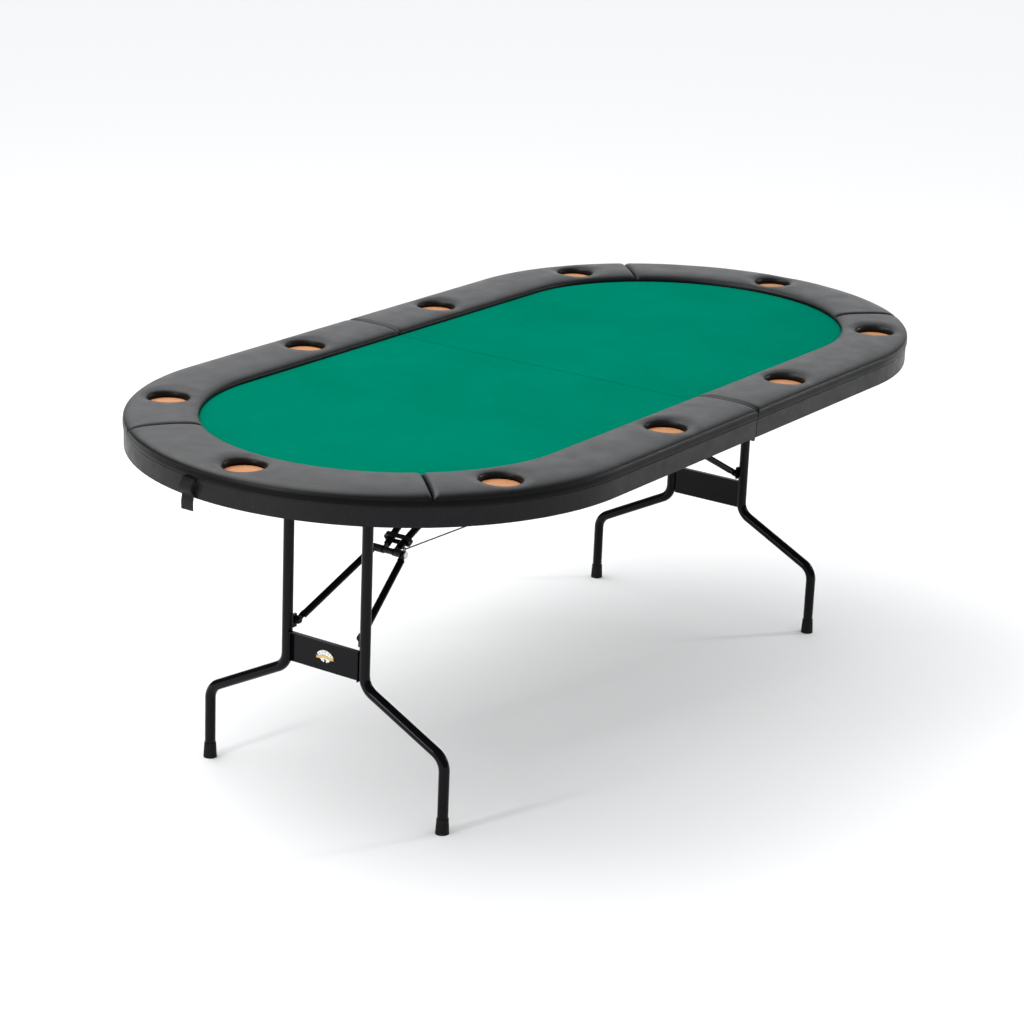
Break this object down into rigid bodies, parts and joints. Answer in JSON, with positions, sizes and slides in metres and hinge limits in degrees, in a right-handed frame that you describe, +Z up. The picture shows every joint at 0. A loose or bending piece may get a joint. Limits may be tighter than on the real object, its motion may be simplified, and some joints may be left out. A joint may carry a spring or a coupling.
{
  "type": "poker table",
  "caption": "Folding oval poker table with padded cup-holder rail, green felt and two braced folding leg sets.",
  "frame": {"origin": "on the floor under the middle of the fold line", "axes": "+X along the table towards the right end, +Y towards the back long side, +Z up"},
  "size_m": [2.134, 1.067, 0.762],
  "materials": {
    "panel_board": "bare tan board",
    "playing_felt": "green wool-blend felt",
    "rail_vinyl": "soft black vinyl over foam",
    "apron_board": "satin black laminate",
    "bracket_steel": "satin black",
    "zinc_steel": "bright zinc",
    "tube_enamel": "gloss black enamel",
    "spring_wire": "dark oiled spring wire",
    "foot_rubber": "black rubber",
    "strap_web": "black nylon webbing",
    "badge_print": "printed foil emblem"
  },
  "bodies": {
    "left_top": {"left_top_panel": "panel_board", "left_felt": "playing_felt", "left_pad_front": "rail_vinyl", "left_pad_end": "rail_vinyl", "left_pad_back": "rail_vinyl", "left_apron_end": "apron_board", "left_apron_front": "apron_board", "left_apron_back": "apron_board", "left_fold_rail": "apron_board", "left_leg_brackets": "bracket_steel", "left_leg_pivot_pin": "zinc_steel", "left_brace_brackets": "bracket_steel", "left_stay_clips": "bracket_steel", "left_bracket_screws": "zinc_steel", "fold_hinge_left": "bracket_steel", "strap_anchor": "strap_web"},
    "left_leg": {"left_leg_crosstube": "tube_enamel", "left_leg_tube_front": "tube_enamel", "left_leg_tube_back": "tube_enamel", "left_spreader_plate": "tube_enamel", "left_foot_front": "foot_rubber", "left_foot_back": "foot_rubber", "left_brace_tabs": "tube_enamel", "badge": "badge_print"},
    "left_lower_brace": {"left_lower_links": "tube_enamel", "left_lower_rivets": "zinc_steel"},
    "left_upper_brace": {"left_upper_links": "tube_enamel", "left_knee_bolt": "bracket_steel"},
    "left_lock": {"left_lock_ring": "bracket_steel"},
    "left_stay": {"left_stays": "spring_wire"},
    "right_top": {"right_top_panel": "panel_board", "right_felt": "playing_felt", "right_pad_front": "rail_vinyl", "right_pad_end": "rail_vinyl", "right_pad_back": "rail_vinyl", "right_apron_end": "apron_board", "right_apron_front": "apron_board", "right_apron_back": "apron_board", "right_fold_rail": "apron_board", "right_leg_brackets": "bracket_steel", "right_leg_pivot_pin": "zinc_steel", "right_brace_brackets": "bracket_steel", "right_stay_clips": "bracket_steel", "right_bracket_screws": "zinc_steel", "fold_hinge_right": "bracket_steel", "strap_stud": "zinc_steel"},
    "right_leg": {"right_leg_crosstube": "tube_enamel", "right_leg_tube_front": "tube_enamel", "right_leg_tube_back": "tube_enamel", "right_spreader_plate": "tube_enamel", "right_foot_front": "foot_rubber", "right_foot_back": "foot_rubber", "right_brace_tabs": "tube_enamel"},
    "right_lower_brace": {"right_lower_links": "tube_enamel", "right_lower_rivets": "zinc_steel"},
    "right_upper_brace": {"right_upper_links": "tube_enamel", "right_knee_bolt": "bracket_steel"},
    "right_lock": {"right_lock_ring": "bracket_steel"},
    "right_stay": {"right_stays": "spring_wire"},
    "strap": {"closing_strap": "strap_web"}
  },
  "joints": [
    {"name": "table_fold", "type": "hinge", "parent": "left_top", "child": "right_top", "pos_m": [0, 0, 0.6895], "axis": [0, 1, 0], "range_deg": [0, 90]},
    {"name": "left_leg_fold", "type": "hinge", "parent": "left_top", "child": "left_leg", "pos_m": [-0.735, 0, 0.709], "axis": [0, -1, 0], "range_deg": [0, 90]},
    {"name": "left_lower_brace_fold", "type": "hinge", "parent": "left_leg", "child": "left_lower_brace", "pos_m": [-0.725, 0, 0.352], "axis": [0, -1, 0], "range_deg": [0, 59.4]},
    {"name": "left_upper_brace_fold", "type": "hinge", "parent": "left_top", "child": "left_upper_brace", "pos_m": [-0.105, 0, 0.719], "axis": [0, 1, 0], "range_deg": [0, 30.64]},
    {"name": "left_stay_fold", "type": "hinge", "parent": "left_top", "child": "left_stay", "pos_m": [-0.265, 0, 0.727], "axis": [0, 1, 0], "range_deg": [0, 41.61]},
    {"name": "left_lock_slide", "type": "slide", "parent": "left_upper_brace", "child": "left_lock", "axis": [0.8605, 0, 0.5094], "range_m": [0, 0.04]},
    {"name": "right_leg_fold", "type": "hinge", "parent": "right_top", "child": "right_leg", "pos_m": [0.735, 0, 0.709], "axis": [0, 1, 0], "range_deg": [0, 90]},
    {"name": "right_lower_brace_fold", "type": "hinge", "parent": "right_leg", "child": "right_lower_brace", "pos_m": [0.725, 0, 0.352], "axis": [0, 1, 0], "range_deg": [0, 59.4]},
    {"name": "right_upper_brace_fold", "type": "hinge", "parent": "right_top", "child": "right_upper_brace", "pos_m": [0.105, 0, 0.719], "axis": [0, -1, 0], "range_deg": [0, 30.64]},
    {"name": "right_stay_fold", "type": "hinge", "parent": "right_top", "child": "right_stay", "pos_m": [0.265, 0, 0.727], "axis": [0, -1, 0], "range_deg": [0, 41.61]},
    {"name": "right_lock_slide", "type": "slide", "parent": "right_upper_brace", "child": "right_lock", "axis": [-0.8605, 0, 0.5094], "range_m": [0, 0.04]},
    {"name": "strap_swing", "type": "hinge", "parent": "left_top", "child": "strap", "pos_m": [-1.064, 0.074, 0.723], "axis": [0, 1, 0], "range_deg": [0, 80]}
  ],
  "couplings": [
    {"joint": "left_lower_brace_fold", "follows": "left_leg_fold", "ratio": 0.65975},
    {"joint": "left_upper_brace_fold", "follows": "left_leg_fold", "ratio": 0.34025},
    {"joint": "left_stay_fold", "follows": "left_leg_fold", "ratio": 0.46214},
    {"joint": "right_lower_brace_fold", "follows": "right_leg_fold", "ratio": 0.65975},
    {"joint": "right_upper_brace_fold", "follows": "right_leg_fold", "ratio": 0.34025},
    {"joint": "right_stay_fold", "follows": "right_leg_fold", "ratio": 0.46214}
  ]
}
